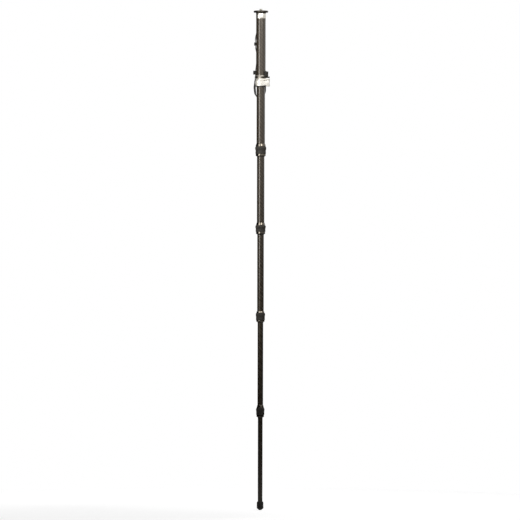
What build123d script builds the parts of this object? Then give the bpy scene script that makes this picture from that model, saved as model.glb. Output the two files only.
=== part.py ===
from build123d import *
from math import cos, radians, sin, sqrt
import os

os.makedirs("parts", exist_ok=True)

# A six-section carbon monopod, stood upright and fully extended.
# Frame: the origin is the centre of the camera plate's top face, on the tube axis. +Z is up and every
# section hangs below zero. The lock lever and its oval badge face -Y, and the lever hinge is on +X.
# Sizes are in millimetres.

# Tubes
top_tube_diameter = 29.6
tube_wall = 1.0
nest_gaps = [0.8, 0.5, 0.35, 0.5, 0.35]
top_tube_exposed = 176.6
exposed_lengths = [176.3, 206.4, 239.3, 257.6, 262.5]
overlaps = [38.6, 48.0, 51.3, 58.0, 66.3]

# Fits shared by many pieces
bond_gap = 0.05
running_gap = 0.1
seat_gap = 0.3
overrun = 5.0

# Camera plate, pad and screw
plate_diameter = 45.0
plate_thickness = 6.0
plate_step_diameter = 31.0
plate_step_height = 2.5
plate_top_chamfer = 0.8
plate_bottom_chamfer = 1.4
pad_outer_diameter = 40.0
pad_thickness = 1.2
pad_proud = 0.3
screw_stud_diameter = 9.52
screw_stud_length = 5.5
screw_small_stud_diameter = 6.35
screw_small_stud_length = 7.0
screw_collar_diameter = 16.0
screw_collar_height = 5.0
screw_slot_width = 1.6
screw_slot_depth = 1.2
stud_chamfer = 0.8
plate_screw_count = 3
plate_screw_diameter = 3.0
plate_screw_circle = 24.0
plate_screw_head_diameter = 5.6
plate_screw_head_height = 1.7
plate_screw_grip = 4.6

# Top cap
cap_diameter = 30.2
cap_height = 15.7
cap_top_thickness = 6.0
cap_cavity_diameter = 23.0
cap_spigot_length = 8.0
cap_chamfer = 0.7

# Lever lock collar
neck_height = 10.6
neck_wall = 0.95
flange_height = 4.8
flange_wall = 1.55
clamp_height = 17.4
liner_wall = 1.05
liner_lip_height = 2.6
liner_lip_width = 1.4
clamp_slit = 2.4
ear_thickness = 5.2
ear_corner = 3.0

# Lever, pin and clamp bolt
bolt_stand_off = 5.0
bolt_edge_margin = 5.4
barrel_radius = 6.2
barrel_top_gap = 0.5
barrel_drop = 2.0
lever_gap = 0.6
lever_thickness = 3.6
lever_top_gap = 1.4
lever_belly_drop = 0.2
lever_tip_angle = 151.0
lever_tip_shares = [0.5, 0.86, 0.1]
lever_belly_shares = [0.72, 0.07]
pin_radius = 2.0
bolt_radius = 2.0
bolt_hole_clearance = 0.2
eye_wall = 1.9
eye_height = 7.4
slot_clearance = 0.3
slot_angles = [-34.0, 124.0]
bolt_tail = 1.6
cam_washer_radius = 5.0
cam_washer_thickness = 1.1
steel_washer_radius = 4.5
steel_washer_thickness = 0.8
nut_across_flats = 7.0
nut_height = 3.6
badge_width = 14.0
badge_height = 9.0
badge_x = -2.8
badge_drop = 8.3
badge_depth = 0.8
badge_proud = 0.5

# Wrist strap, its swivel ring, clip and slider
ring_top_drop = 3.7
ring_thickness = 4.2
ring_width = 2.9
ring_lug_reach = 27.6
ring_lug_width = 10.0
ring_opening_angles = [-128.0, -84.0]
band_height = 12.0
band_wall = 2.2
band_bottom_rise = 0.8
band_opening_angles = [-178.0, -34.0]
boss_height = 15.5
boss_left = 10.3
boss_right = 23.0
boss_front = 14.0
boss_back = 2.0
boss_round = 2.0
yoke_height = 11.6
yoke_rise = 3.0
yoke_left = 23.9
yoke_right = 17.0
yoke_web_width = 16.0
yoke_wall = 0.8
yoke_round = 1.5
rivet_radius = 1.5
rivet_head_radius = 2.4
rivet_head_height = 0.8
rivet_x = 19.5
rivet_y = -3.0
rivet_grip = 6.0
clip_screw_radius = 1.5
clip_screw_head_radius = 2.6
clip_screw_head_height = 1.6
clip_screw_grip = 7.0
webbing_thickness = 2.2
webbing_width = 12.0
webbing_stand_off = 18.5
strap_left = 16.9
strap_right = 12.0
strap_rise = 128.4
strap_hang = 76.0
strap_run_margin = 1.5
strap_below_slider_shares = [(0.79, 0.35), (0.75, 0.79)]
strap_above_slider_shares = [(0.74, 0.63)]
strap_top_left_share = 0.45
strap_top_right_share = 0.33
strap_upper_right_shares = [(0.95, 0.82)]
strap_lower_right_shares = [(1.20, 0.34), (1.21, 0.68), (0.58, 1.0)]
strap_lower_left_shares = [(0.47, 1.0), (1.02, 0.80), (1.14, 0.56), (1.10, 0.32)]
strap_bends = [30.0, 30.0, 60.0, 40.0, 30.0, 40.0, 30.0, 6.5, 6.5,
               30.0, 60.0, 40.0, 40.0, 25.0, 9.0, 9.0, 20.0, 40.0, 40.0]
slider_rise_share = 0.685
slider_height = 9.5
slider_side = 3.0
slider_wall = 1.2
slider_travel = 4.0

# Twist locks on tubes 2 to 5, one value for each lock, from the top one down
cone_heights = [8.5, 7.8, 5.0, 9.4]
grip_heights = [24.1, 21.0, 23.6, 21.8]
lip_heights = [6.2, 6.6, 5.0, 6.3]
grip_crests = [2.45, 2.85, 2.35, 2.65]
grip_waists = [0.9, 1.45, 1.5, 1.85]
grip_second_crests = [1.35, 1.75, 1.65, 2.0]
cone_rises = [3.1, 3.0, 2.6, 2.9]
lip_flares = [0.35, 0.5, 0.55, 0.75]
lip_chamfers = [0.9, 0.4, 1.7, 0.6]
cone_start = 0.5
ferrule_wall = 1.1
thread_clearance = 0.15
ring_wall = 0.75
ring_face_gap = 0.4
tube_seat_length = 12.0
ferrule_overhang = 5.0
collet_taper = 0.6
collet_slit = 1.5
seal_height = 2.4
seal_wall = 1.0
seal_lip_height = 2.0
seal_lip_wall = 0.5
seal_gap = 0.8
collet_wall_clearance = 0.1
grip_height_shares = [0.20, 0.62, 0.84]
grip_foot_share = 0.9

# Guide shims on the top end of tubes 2 to 6
shim_top_margin = 1.0
shim_split = 1.6
shim_bond_gap = 0.03
shim_tongue_radius = 1.6
shim_tongue_share = 0.5
travel_gap = 0.6
head_room = 1.2

# Foot
foot_height = 26.4
foot_top_radius = 9.3
foot_shoulder_radius = 10.25
foot_shoulder_drop = 2.8
foot_skirt_radius = 10.7
foot_skirt_height = 6.2
foot_tip_radius = 3.2
foot_groove_depth = 0.5
foot_groove_width = 1.4
foot_groove_drops = [10.2, 16.0]
foot_bore_clearance = 0.3
foot_travel = 6.0
foot_hole_radius = 1.7
foot_sleeve = 1.0
foot_floor_gap = 0.5
plug_spigot_length = 24.0
plug_flange_height = 1.5
plug_stem_radius = 5.0
plug_stem_length = 10.0
spike_thread_radius = 2.95
spike_thread_length = 12.0
spike_shoulder_radius = 4.5
spike_shoulder_height = 1.2
spike_root_radius = 2.9
spike_tip_radius = 0.3
spike_recess = 1.5
insert_height = 3.0

# Heights down the pole, as Z of each face
plate_bottom_z = -plate_thickness
cap_top_z = plate_bottom_z - plate_step_height
cap_bottom_z = cap_top_z - cap_height
neck_top_z = cap_bottom_z - top_tube_exposed
flange_top_z = neck_top_z - neck_height
flange_bottom_z = flange_top_z - flange_height
clamp_bottom_z = flange_bottom_z - clamp_height
lever_lock_bottom_z = clamp_bottom_z - liner_lip_height

# Radii of the nested tubes, from the top one down
outer_radii = [top_tube_diameter / 2]
for gap in nest_gaps:
    outer_radii.append(outer_radii[-1] - tube_wall - gap)
bore_radii = [radius - tube_wall for radius in outer_radii]

# Top and bottom of each twist lock, and the height of the foot's top
lock_tops = []
lock_bottoms = []
lower_edge = lever_lock_bottom_z
for exposed, cone, grip, lip in zip(exposed_lengths, cone_heights, grip_heights, lip_heights):
    lock_tops.append(lower_edge - exposed)
    lower_edge = lock_tops[-1] - cone - grip - lip
    lock_bottoms.append(lower_edge)
foot_top_z = lower_edge - exposed_lengths[-1]
foot_tip_z = foot_top_z - foot_height


def turned(*edges):
    """Body of revolution about the tube axis from the closed outline in the XZ plane."""
    return revolve(make_face(Wire(edges)), Axis.Z)


def outline(points):
    """Closed outline in the XZ plane through (radius, height) points."""
    return Polyline(*[(radius, 0, height) for radius, height in points], close=True)


def sleeve(inner, outer, low, high):
    """Plain ring about the tube axis between two heights."""
    return turned(*outline([(inner, low), (outer, low), (outer, high), (inner, high)]).edges())


def rod(radius, low, high, x=0, y=0):
    """Round bar along Z."""
    return Pos(x, y, (low + high) / 2) * Cylinder(radius, high - low)


def rod_along_y(radius, front, back, x, z):
    """Round bar along Y."""
    return Pos(x, (front + back) / 2, z) * Rot(90, 0, 0) * Cylinder(radius, back - front)


def block(x_range, y_range, z_range):
    """Box between two corners."""
    centre = [(low + high) / 2 for low, high in (x_range, y_range, z_range)]
    sides = [high - low for low, high in (x_range, y_range, z_range)]
    return Pos(*centre) * Box(*sides)


def wedge(start_angle, end_angle, reach, low, high, x=0, y=0):
    """Sector of a round plate between two angles in degrees, less than a half turn apart."""
    middle = (start_angle + end_angle) / 2
    spread = reach / cos(radians(end_angle - start_angle) / 2)
    corners = [(0, 0), (reach, start_angle), (spread, middle), (reach, end_angle)]
    points = [(x + far * cos(radians(turn)), y + far * sin(radians(turn)), low) for far, turn in corners]
    return extrude(make_face(Polyline(*points, close=True)), high - low, dir=(0, 0, 1))


def save(name, shape):
    """Writes one node and prints its size."""
    box = shape.bounding_box()
    print(f"{name:16s} z {box.min.Z:9.2f} to {box.max.Z:9.2f}  volume {shape.volume:10.1f}")
    export_step(shape, f"parts/{name}.step")


# Camera plate with its pad, screw and fixings
pad_floor_z = -pad_thickness
plate_rim_z = -pad_proud
plate_radius = plate_diameter / 2
plate_step_radius = plate_step_diameter / 2
stud_radius = screw_stud_diameter / 2
small_stud_radius = screw_small_stud_diameter / 2
collar_radius = screw_collar_diameter / 2
pad_radius = pad_outer_diameter / 2
collar_seat_radius = collar_radius + bond_gap
collar_floor_z = -screw_collar_height
small_stud_bottom_z = collar_floor_z - screw_small_stud_length
small_stud_hole_radius = small_stud_radius + seat_gap
screw_head_top_z = pad_floor_z - bond_gap
screw_head_bottom_z = screw_head_top_z - plate_screw_head_height
plate_screw_bottom_z = cap_top_z - plate_screw_grip
plate_screw_radius = plate_screw_diameter / 2
plate_screw_head_radius = plate_screw_head_diameter / 2


def plate_screw(clearance):
    """Countersunk screw at one place of the circle, grown by a clearance for its hole."""
    shank_radius = plate_screw_radius + clearance
    head_radius = plate_screw_head_radius + clearance
    return turned(*outline([
        (0, screw_head_top_z), (head_radius, screw_head_top_z),
        (shank_radius, screw_head_bottom_z), (shank_radius, plate_screw_bottom_z),
        (0, plate_screw_bottom_z),
    ]).edges())


plate_screw_places = PolarLocations(plate_screw_circle / 2, plate_screw_count)
plate_screws = [place * plate_screw(0) for place in plate_screw_places]
plate_screw_holes = [place * plate_screw(bond_gap) for place in plate_screw_places]

camera_plate = turned(*outline([
    (0, plate_bottom_z - plate_step_height), (plate_step_radius, plate_bottom_z - plate_step_height),
    (plate_step_radius, plate_bottom_z), (plate_radius - plate_bottom_chamfer, plate_bottom_z),
    (plate_radius, plate_bottom_z + plate_bottom_chamfer), (plate_radius, plate_rim_z - plate_top_chamfer),
    (plate_radius - plate_top_chamfer, plate_rim_z), (pad_radius + bond_gap, plate_rim_z),
    (pad_radius + bond_gap, pad_floor_z), (collar_seat_radius, pad_floor_z),
    (collar_seat_radius, collar_floor_z), (0, collar_floor_z),
]).edges())
camera_plate -= rod(small_stud_hole_radius, cap_top_z - overrun, collar_floor_z + overrun)
camera_plate -= plate_screw_holes

plate_pad = sleeve(collar_seat_radius + bond_gap, pad_radius, pad_floor_z, 0)

camera_screw = turned(*outline([
    (0, small_stud_bottom_z), (small_stud_radius - stud_chamfer, small_stud_bottom_z),
    (small_stud_radius, small_stud_bottom_z + stud_chamfer), (small_stud_radius, collar_floor_z),
    (collar_radius, collar_floor_z), (collar_radius, 0), (stud_radius, 0),
    (stud_radius, screw_stud_length - stud_chamfer), (stud_radius - stud_chamfer, screw_stud_length),
    (0, screw_stud_length),
]).edges())
for side in (-1, 1):
    slot_span = sorted([side * (stud_radius + seat_gap), side * (collar_radius + overrun)])
    camera_screw -= block(slot_span, (-screw_slot_width / 2, screw_slot_width / 2),
                          (-screw_slot_depth, overrun))

# Top cap: a collar of the tube's own size with a hollow spigot bonded in the top tube
cap_radius = cap_diameter / 2
cap_cavity_radius = cap_cavity_diameter / 2
spigot_radius = bore_radii[0] - bond_gap
spigot_bottom_z = cap_bottom_z - cap_spigot_length
top_cap = turned(*outline([
    (0, cap_top_z), (cap_radius - cap_chamfer, cap_top_z), (cap_radius, cap_top_z - cap_chamfer),
    (cap_radius, cap_bottom_z), (spigot_radius, cap_bottom_z), (spigot_radius, spigot_bottom_z),
    (cap_cavity_radius, spigot_bottom_z), (cap_cavity_radius, cap_top_z - cap_top_thickness),
    (0, cap_top_z - cap_top_thickness),
]).edges())
top_cap -= rod(small_stud_hole_radius, spigot_bottom_z, cap_top_z + overrun)
top_cap -= plate_screw_holes

save("camera_plate", camera_plate)
save("plate_pad", plate_pad)
save("camera_screw", camera_screw)
save("plate_screws", Compound(children=plate_screws))
save("top_cap", top_cap)

# Top tube, and the lever lock's collar bonded on its lower end
save("tube_1", sleeve(bore_radii[0], outer_radii[0], flange_bottom_z, cap_bottom_z))

neck_bore_radius = outer_radii[0] + bond_gap
neck_radius = neck_bore_radius + neck_wall
flange_radius = neck_radius + flange_wall / 2
liner_bore_radius = outer_radii[1] + running_gap
liner_radius = liner_bore_radius + liner_wall
clamp_bore_radius = liner_radius + bond_gap
clamp_radius = flange_radius
ear_face_y = clamp_slit / 2 + ear_thickness
lever_pivot_x = clamp_radius + bolt_stand_off
ear_reach = lever_pivot_x + bolt_edge_margin
cam_washer_face_y = ear_face_y + cam_washer_thickness
lever_pivot_y = -(cam_washer_face_y + seat_gap + barrel_radius)
bolt_z = flange_bottom_z - clamp_height / 2 - barrel_top_gap
bolt_hole_radius = bolt_radius + bolt_hole_clearance

flange_outline = make_hull([
    *Circle(flange_radius).edges(),
    *(Pos(lever_pivot_x, lever_pivot_y) * Circle(barrel_radius)).edges(),
    *(Pos(ear_reach - ear_corner, ear_face_y - ear_corner) * Circle(ear_corner)).edges(),
])
ears_outline = RectangleRounded(2 * ear_reach, 2 * ear_face_y, ear_corner)
ears_outline -= Pos(-ear_reach, 0) * Rectangle(2 * ear_reach, 4 * ear_face_y)
collar = sleeve(0, neck_radius, flange_top_z, neck_top_z)
collar += Pos(0, 0, flange_bottom_z) * extrude(flange_outline, flange_height)
collar += Pos(0, 0, clamp_bottom_z) * extrude(Circle(clamp_radius) + ears_outline, clamp_height)
collar -= rod(neck_bore_radius, flange_bottom_z, neck_top_z + overrun)
collar -= rod(clamp_bore_radius, clamp_bottom_z - overrun, flange_bottom_z + overrun)
slit_box = block((0, ear_reach + overrun), (-clamp_slit / 2, clamp_slit / 2),
                 (clamp_bottom_z - overrun, flange_bottom_z))
collar -= slit_box
collar -= rod_along_y(bolt_hole_radius, -ear_face_y - overrun, ear_face_y + overrun, lever_pivot_x, bolt_z)
save("lock_collar", collar)

liner = sleeve(liner_bore_radius, liner_radius, clamp_bottom_z, flange_bottom_z - seat_gap)
liner += sleeve(liner_bore_radius, liner_radius + liner_lip_width, lever_lock_bottom_z, clamp_bottom_z)
liner -= block((0, ear_reach), (-clamp_slit / 2, clamp_slit / 2),
               (lever_lock_bottom_z - overrun, flange_bottom_z))
save("lock_liner", liner)

# Clamp bolt, its washers and nut, and the lever pin in the bolt's eye
eye_radius = pin_radius + eye_wall
washer_back_y = ear_face_y + steel_washer_thickness
nut_back_y = washer_back_y + nut_height
bolt = rod(eye_radius, bolt_z - eye_height / 2, bolt_z + eye_height / 2, lever_pivot_x, lever_pivot_y)
bolt += rod_along_y(bolt_radius, lever_pivot_y, nut_back_y + bolt_tail, lever_pivot_x, bolt_z)
pin_hole_radius = pin_radius + bond_gap / 2
bolt -= rod(pin_hole_radius, bolt_z - eye_height, bolt_z + eye_height, lever_pivot_x, lever_pivot_y)
save("clamp_bolt", bolt)

cam_washer = rod_along_y(cam_washer_radius, -cam_washer_face_y, -ear_face_y, lever_pivot_x, bolt_z)
cam_washer -= rod_along_y(bolt_hole_radius, -cam_washer_face_y, -ear_face_y, lever_pivot_x, bolt_z)
save("cam_washer", cam_washer)

steel_washer = rod_along_y(steel_washer_radius, ear_face_y, washer_back_y, lever_pivot_x, bolt_z)
steel_washer -= rod_along_y(bolt_hole_radius, ear_face_y, washer_back_y, lever_pivot_x, bolt_z)
save("clamp_washer", steel_washer)

nut_outline = RegularPolygon(nut_across_flats / 2, 6, major_radius=False)
nut = Pos(lever_pivot_x, nut_back_y, bolt_z) * Rot(90, 0, 0) * extrude(nut_outline, nut_height)
nut -= rod_along_y(bolt_radius + bond_gap, washer_back_y, nut_back_y, lever_pivot_x, bolt_z)
save("clamp_nut", nut)

# Lever: a bowed arm round the front of the collar, a web, and the hinge barrel on the right
barrel_top_z = flange_bottom_z - barrel_top_gap
barrel_bottom_z = clamp_bottom_z - barrel_drop
lever_inner_radius = clamp_radius + lever_gap
lever_outer_radius = lever_inner_radius + lever_thickness
lever_top_z = flange_bottom_z - lever_top_gap
lever_belly_z = clamp_bottom_z - lever_belly_drop
pin_bore_radius = pin_radius + bond_gap


def lever_plan(outer_radius):
    """Top view of the lever's arm and web, with its front face at the given radius."""
    tip = radians(lever_tip_angle)
    reach = 2 * outer_radius
    arm = Circle(outer_radius)
    arm_sector = make_face(Polyline(
        (0, 0), (0, -reach), (-reach, -reach),
        (reach * cos(tip), -reach * sin(tip)), close=True))
    web_left = sqrt(lever_inner_radius**2 - lever_pivot_y**2)
    web = make_face(Polyline(
        (0, -outer_radius), (lever_pivot_x, -outer_radius), (lever_pivot_x, lever_pivot_y),
        (web_left, lever_pivot_y), (0, -lever_inner_radius), close=True))
    return (arm & arm_sector) + web - Circle(lever_inner_radius)


def front_prism(face):
    """Front view outline, drawn in the XZ plane, carried back through the whole lever."""
    return extrude(face, 2 * lever_outer_radius, dir=(0, -1, 0))


lever_left = lever_outer_radius * cos(radians(lever_tip_angle))
lever_mid_z = (lever_top_z + lever_belly_z) / 2
lever_height = lever_top_z - lever_belly_z
bend_share, shoulder_share, shoulder_drop_share = lever_tip_shares
belly_share, belly_rise_share = lever_belly_shares
arm_right = lever_pivot_x
lever_face = make_face([
    Line((arm_right, 0, lever_top_z), (lever_left * bend_share, 0, lever_top_z)),
    ThreePointArc((lever_left * bend_share, 0, lever_top_z),
                  (lever_left * shoulder_share, 0, lever_top_z - lever_height * shoulder_drop_share),
                  (lever_left, 0, lever_mid_z)),
    Spline((lever_left, 0, lever_mid_z),
           (lever_left * belly_share, 0, clamp_bottom_z + lever_height * belly_rise_share),
           (0, 0, lever_belly_z), (arm_right, 0, clamp_bottom_z)),
    Line((arm_right, 0, clamp_bottom_z), (arm_right, 0, lever_top_z)),
])
arm_body = Pos(0, 0, lever_belly_z) * extrude(lever_plan(lever_outer_radius), lever_height)
lever = arm_body & front_prism(lever_face)
lever += rod(barrel_radius, barrel_bottom_z, barrel_top_z, lever_pivot_x, lever_pivot_y)
slot_low = bolt_z - eye_height / 2 - slot_clearance
slot_high = bolt_z + eye_height / 2 + slot_clearance
lever -= rod(eye_radius + slot_clearance, slot_low, slot_high, lever_pivot_x, lever_pivot_y)
lever -= wedge(*slot_angles, 2 * barrel_radius, slot_low, slot_high, lever_pivot_x, lever_pivot_y)
lever -= rod(pin_bore_radius, barrel_bottom_z - overrun, barrel_top_z + overrun, lever_pivot_x, lever_pivot_y)

badge_z = flange_bottom_z - badge_drop
badge_floor_radius = lever_outer_radius - badge_depth
badge_skin_radius = lever_outer_radius + badge_proud


def badge_prism(margin):
    """Oval seen from the front, carried back through the lever."""
    oval = Ellipse(badge_width / 2 + margin, badge_height / 2 + margin)
    return Pos(badge_x, 0, badge_z) * Rot(90, 0, 0) * extrude(oval, 2 * lever_outer_radius)


badge_low = badge_z - badge_height
pocket_shell = Circle(2 * lever_outer_radius) - lever_plan(badge_floor_radius) - Circle(lever_inner_radius)
pocket = Pos(0, 0, badge_low) * extrude(pocket_shell, 2 * badge_height)
badge_shell = Pos(0, 0, badge_low) * extrude(lever_plan(badge_skin_radius) - lever_plan(badge_floor_radius),
                                             2 * badge_height)
lever -= pocket & badge_prism(bond_gap)
save("lock_lever", lever)
save("lever_badge", badge_shell & badge_prism(0))
save("lever_pin", rod(pin_radius, barrel_bottom_z + barrel_top_gap, barrel_top_z - barrel_top_gap,
                      lever_pivot_x, lever_pivot_y))

# Swivel ring on the collar's neck, open at the front left, with a lug on the right
ring_top_z = neck_top_z - ring_top_drop
ring_bottom_z = ring_top_z - ring_thickness
ring_bore_radius = neck_radius + seat_gap
ring_radius = ring_bore_radius + ring_width
ring = rod(ring_radius, ring_bottom_z, ring_top_z)
ring += block((0, ring_lug_reach), (-ring_lug_width / 2, ring_lug_width / 2), (ring_bottom_z, ring_top_z))
lug_corners = ring.edges().filter_by(Axis.Z).group_by(Axis.X)[-1]
ring = fillet(lug_corners, ring_lug_width / 3)
ring -= rod(ring_bore_radius, ring_bottom_z, ring_top_z)
ring -= wedge(*ring_opening_angles, ring_radius + overrun, ring_bottom_z, ring_top_z)
ring -= rod(rivet_radius + bond_gap, ring_bottom_z, ring_top_z, rivet_x, rivet_y)
save("strap_ring", ring)

# Strap clip: a band round the tube with a boss on the right and a yoke behind it for the webbing
band_bottom_z = neck_top_z + band_bottom_rise
band_top_z = band_bottom_z + band_height
band_bore_radius = outer_radii[0] + seat_gap
band_radius = band_bore_radius + band_wall
boss_top_z = ring_top_z + boss_height
yoke_front_y = webbing_stand_off - yoke_wall
yoke_back_y = webbing_stand_off + webbing_width + yoke_wall
yoke_low_z = band_bottom_z + yoke_rise
yoke_high_z = yoke_low_z + yoke_height

band = rod(band_radius, band_bottom_z, band_top_z)
band -= wedge(*band_opening_angles, band_radius + overrun, band_bottom_z, band_top_z)
boss = block((boss_left, boss_right), (-boss_front, boss_back), (ring_top_z, boss_top_z))
boss = fillet(boss.edges().filter_by(Axis.Z), boss_round)
boss = fillet(boss.edges().group_by(Axis.Z)[-1], boss_round / 2)
yoke = block((-yoke_left, yoke_right), (yoke_front_y, yoke_back_y), (yoke_low_z, yoke_high_z))
yoke = fillet(yoke.edges().filter_by(Axis.Z), yoke_round)
yoke_web = block((-yoke_web_width / 2, yoke_web_width / 2), (0, yoke_front_y), (band_bottom_z, band_top_z))
clip = band + boss + yoke + yoke_web
clip -= rod(band_bore_radius, ring_top_z - overrun, yoke_high_z + overrun)
clip -= rod(ring_bore_radius, ring_top_z - overrun, band_bottom_z - seat_gap)

# Webbing: a closed loop seen from the front as a long narrow ring, with its width along Y
slider_top_z = yoke_high_z + strap_rise * slider_rise_share
slider_bottom_z = slider_top_z - slider_height
strap_top_z = yoke_high_z + strap_rise
run_half = slider_travel + strap_run_margin
run_low_z = slider_bottom_z - run_half
run_high_z = slider_top_z + run_half
below_slider = run_low_z - yoke_high_z
above_slider = strap_top_z - run_high_z
strap_points = [
    (-strap_left, yoke_low_z - overrun), (-strap_left, yoke_high_z + overrun),
    *[(-strap_left * across, yoke_high_z + below_slider * up) for across, up in strap_below_slider_shares],
    (-strap_left, run_low_z), (-strap_left, run_high_z),
    *[(-strap_left * across, run_high_z + above_slider * up) for across, up in strap_above_slider_shares],
    (-strap_left * strap_top_left_share, strap_top_z), (strap_right * strap_top_right_share, strap_top_z),
    *[(strap_right * across, yoke_high_z + strap_rise * up) for across, up in strap_upper_right_shares],
    (strap_right, yoke_high_z + overrun), (strap_right, yoke_low_z - overrun),
    *[(strap_right * across, yoke_low_z - strap_hang * down) for across, down in strap_lower_right_shares],
    *[(-strap_left * across, yoke_low_z - strap_hang * down) for across, down in strap_lower_left_shares],
]
strap_line = FilletPolyline(*[(x, 0, z) for x, z in strap_points], radius=strap_bends, close=True)
strap_face = make_face(strap_line.edges())


def strap_band(grow, width, front):
    """Closed loop of webbing, grown by a clearance on both faces, from its front edge back."""
    half = webbing_thickness / 2 + grow
    loop = offset(strap_face, half) - offset(strap_face, -half)
    return Pos(0, front, 0) * extrude(loop, width, dir=(0, 1, 0))


webbing = strap_band(0, webbing_width, webbing_stand_off)
webbing_room = strap_band(seat_gap, webbing_width + 2 * seat_gap, webbing_stand_off - seat_gap)
clip -= webbing_room
rivet_top_z = ring_top_z + rivet_grip
clip -= rod(rivet_radius + bond_gap, ring_top_z, rivet_top_z + bond_gap, rivet_x, rivet_y)
clip_screw_x = (boss_left + boss_right) / 2
clip_screw_z = (ring_top_z + boss_top_z) / 2 + boss_round
clip_screw_back_y = clip_screw_grip - boss_front
clip -= rod_along_y(clip_screw_radius + bond_gap, -boss_front, clip_screw_back_y + bond_gap,
                    clip_screw_x, clip_screw_z)
save("strap_clip", clip)
save("strap_webbing", webbing)

rivet = rod(rivet_radius, ring_bottom_z, rivet_top_z, rivet_x, rivet_y)
rivet += rod(rivet_head_radius, ring_bottom_z - rivet_head_height, ring_bottom_z, rivet_x, rivet_y)
save("strap_rivet", rivet)

clip_screw = rod_along_y(clip_screw_radius, -boss_front, clip_screw_back_y, clip_screw_x, clip_screw_z)
clip_screw += rod_along_y(clip_screw_head_radius, -boss_front - clip_screw_head_height, -boss_front,
                          clip_screw_x, clip_screw_z)
save("clip_screw", clip_screw)

slider_half = webbing_thickness / 2 + slider_side
slider = block((-strap_left - slider_half, -strap_left + slider_half),
               (webbing_stand_off - slider_wall, webbing_stand_off + webbing_width + slider_wall),
               (slider_bottom_z, slider_top_z))
slider = fillet(slider.edges().filter_by(Axis.Y), slider_side / 2)
save("strap_slider", slider - webbing_room)


# Twist locks: ferrule on the upper tube, ring with its grip, collet and dust seal on the next tube
def grip_profile(core, low, high, crest, waist, second):
    """Outer edge of the rubber grip as a smooth curve through its two swells and its waist."""
    crest_z, waist_z, second_z = [high - (high - low) * share for share in grip_height_shares]
    return Spline(
        (core + waist, 0, high), (core + crest, 0, crest_z), (core + waist, 0, waist_z),
        (core + second, 0, second_z), (core + waist * grip_foot_share, 0, low))


stop_heights = [flange_bottom_z - seat_gap]
tube_ends = []
for index, top_z in enumerate(lock_tops):
    section = index + 2
    tube_radius = outer_radii[index + 1]
    next_radius = outer_radii[index + 2]
    bottom_z = lock_bottoms[index]
    cone_bottom_z = top_z - cone_heights[index]
    lip_top_z = cone_bottom_z - grip_heights[index]
    tube_end_z = cone_bottom_z - tube_seat_length
    ferrule_bottom_z = tube_end_z - ferrule_overhang
    collet_top_z = tube_end_z - bond_gap
    seal_top_z = bottom_z + seal_height
    collet_bottom_z = seal_top_z + seal_gap
    seal_seat_radius = next_radius + seal_wall + bond_gap
    stop_heights.append(collet_top_z)
    tube_ends.append(tube_end_z)
    ferrule_bore = tube_radius + bond_gap
    ferrule_radius = ferrule_bore + ferrule_wall
    ring_bore = ferrule_radius + thread_clearance
    core_radius = ring_bore + ring_wall
    ring_top = cone_bottom_z - ring_face_gap
    collet_bore = next_radius + running_gap
    collet_radius = tube_radius - bond_gap
    collet_nose = collet_radius - collet_taper
    lip_radius = core_radius + lip_flares[index]
    cone_radius = tube_radius + cone_rises[index]

    save(f"ferrule_{section}", turned(*outline([
        (ferrule_bore, top_z), (tube_radius + cone_start, top_z), (cone_radius, cone_bottom_z),
        (ferrule_radius, cone_bottom_z), (ferrule_radius, ferrule_bottom_z),
        (ferrule_bore, ferrule_bottom_z),
    ]).edges()))

    cone_top_z = ferrule_bottom_z - ring_face_gap
    nose_bore = collet_nose + collet_wall_clearance
    save(f"twist_ring_{section}", turned(*outline([
        (ring_bore, ring_top), (core_radius, ring_top), (core_radius, lip_top_z), (lip_radius, lip_top_z),
        (lip_radius, bottom_z + lip_chamfers[index]), (lip_radius - lip_chamfers[index], bottom_z),
        (seal_seat_radius, bottom_z), (seal_seat_radius, seal_top_z), (nose_bore, seal_top_z),
        (collet_radius + collet_wall_clearance, cone_top_z),
        (ring_bore, cone_top_z),
    ]).edges()))

    grip_core = core_radius + bond_gap
    grip_edge = grip_profile(core_radius, lip_top_z, ring_top, grip_crests[index], grip_waists[index],
                             grip_second_crests[index])
    save(f"grip_{section}", turned(
        Line((grip_core, 0, ring_top), grip_edge @ 0), grip_edge,
        Line(grip_edge @ 1, (grip_core, 0, lip_top_z)), Line((grip_core, 0, lip_top_z), (grip_core, 0, ring_top))))

    collet = turned(*outline([
        (collet_bore, collet_top_z), (collet_radius, collet_top_z), (collet_radius, ferrule_bottom_z),
        (collet_nose, collet_bottom_z), (collet_bore, collet_bottom_z),
    ]).edges())
    collet -= block((0, tube_radius), (-collet_slit / 2, collet_slit / 2),
                    (collet_bottom_z - overrun, collet_top_z + overrun))
    save(f"collet_{section}", collet)

    seal_bore = next_radius + running_gap
    seal_lip_z = bottom_z - seal_lip_height
    save(f"dust_seal_{section}", turned(*outline([
        (seal_bore, seal_top_z), (next_radius + seal_wall, seal_top_z), (next_radius + seal_wall, bottom_z),
        (next_radius + seal_lip_wall, seal_lip_z), (seal_bore, seal_lip_z),
    ]).edges()))

# Tubes 2 to 6, each with two guide shims on its top end, tongued into holes in the tube's wall
tube_ends.append(foot_top_z - foot_sleeve)
lock_mouths = [lever_lock_bottom_z, *lock_bottoms]
tube_tops = [mouth + overlap for mouth, overlap in zip(lock_mouths, overlaps)]
shim_hole_radius = shim_tongue_radius + running_gap


def rod_along_x(radius, reach, z):
    """Round bar along X, centred on the tube axis."""
    return Pos(0, 0, z) * Rot(0, 90, 0) * Cylinder(radius, 2 * reach)


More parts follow.
